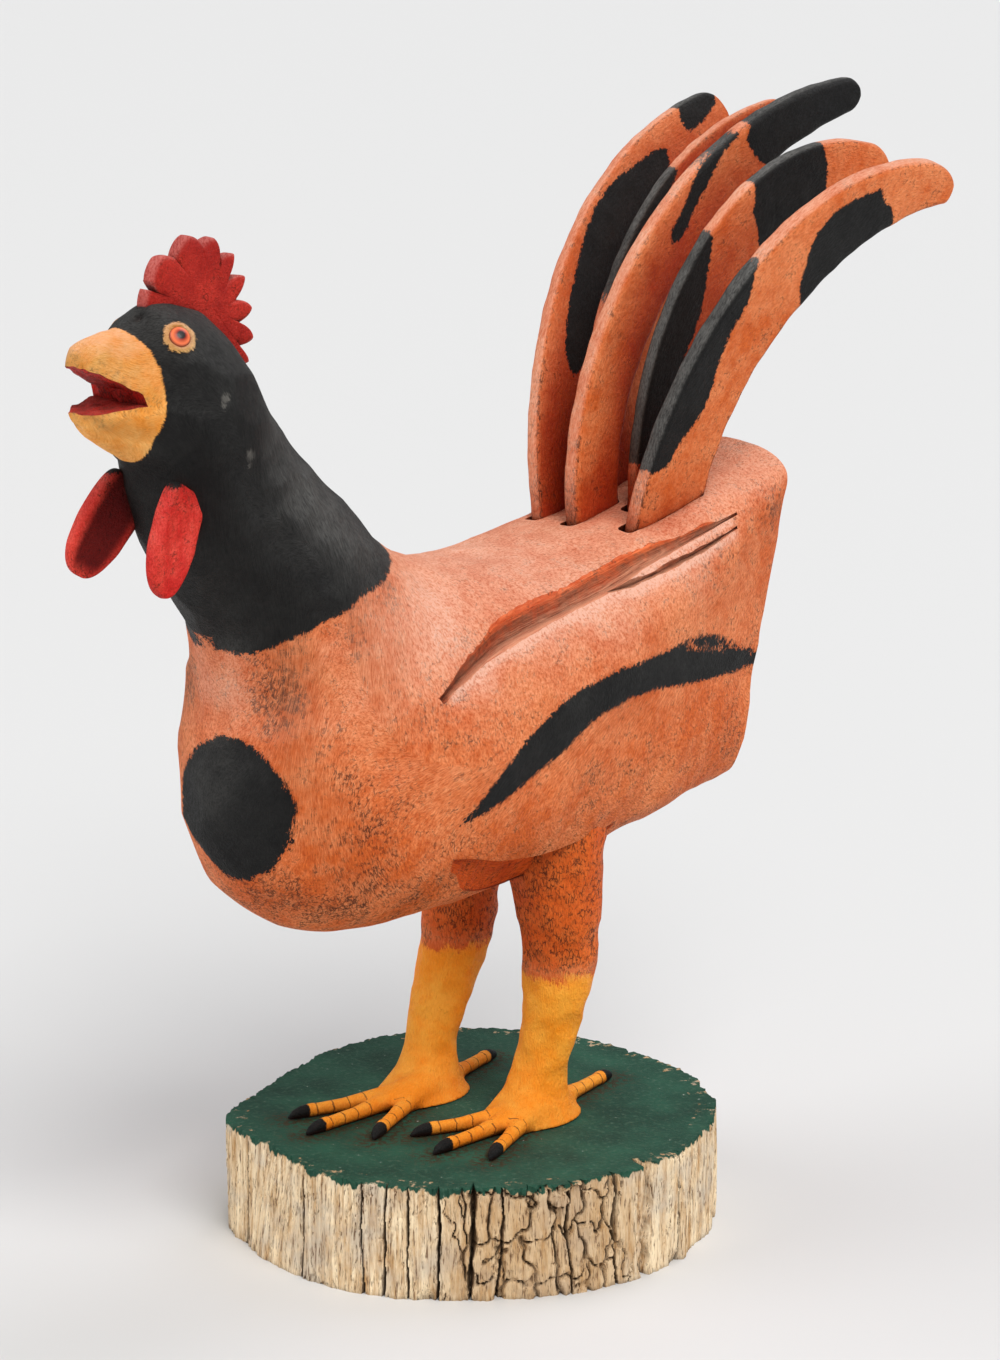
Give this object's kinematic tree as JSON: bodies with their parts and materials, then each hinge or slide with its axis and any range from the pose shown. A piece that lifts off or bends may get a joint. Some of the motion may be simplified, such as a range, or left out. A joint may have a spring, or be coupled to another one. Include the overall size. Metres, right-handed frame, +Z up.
{
  "type": "rooster carving",
  "caption": "Painted wooden folk carving of a standing rooster with an open beak, comb, wattles and slotted-in tail feathers, on a slice of log.",
  "frame": {"origin": "centre of the underside of the log slice", "axes": "+Z up; the rooster faces -Y, and its left side is +X"},
  "size_m": [0.2857, 0.6127, 0.6397],
  "materials": {
    "orange_paint": "matte orange paint on carved wood, with a black neck and marks and an ochre beak",
    "red_paint": "matte red paint on wood",
    "ochre_paint": "matte orange paint above, ochre yellow paint on the shanks and toes, black claws",
    "log": "dark green painted top, weathered bare wood side with drying cracks",
    "glass_eye": "orange-red glass with a black pupil"
  },
  "bodies": {
    "root": {"body": "orange_paint", "comb": "red_paint", "wattle_left": "red_paint", "wattle_right": "red_paint", "eye_left": "glass_eye", "eye_right": "glass_eye", "tail_feather_1": "orange_paint", "tail_feather_2": "orange_paint", "tail_feather_3": "orange_paint", "tail_feather_4": "orange_paint", "tail_feather_5": "orange_paint", "leg_left": "ochre_paint", "leg_right": "ochre_paint", "base": "log"}
  },
  "joints": []
}
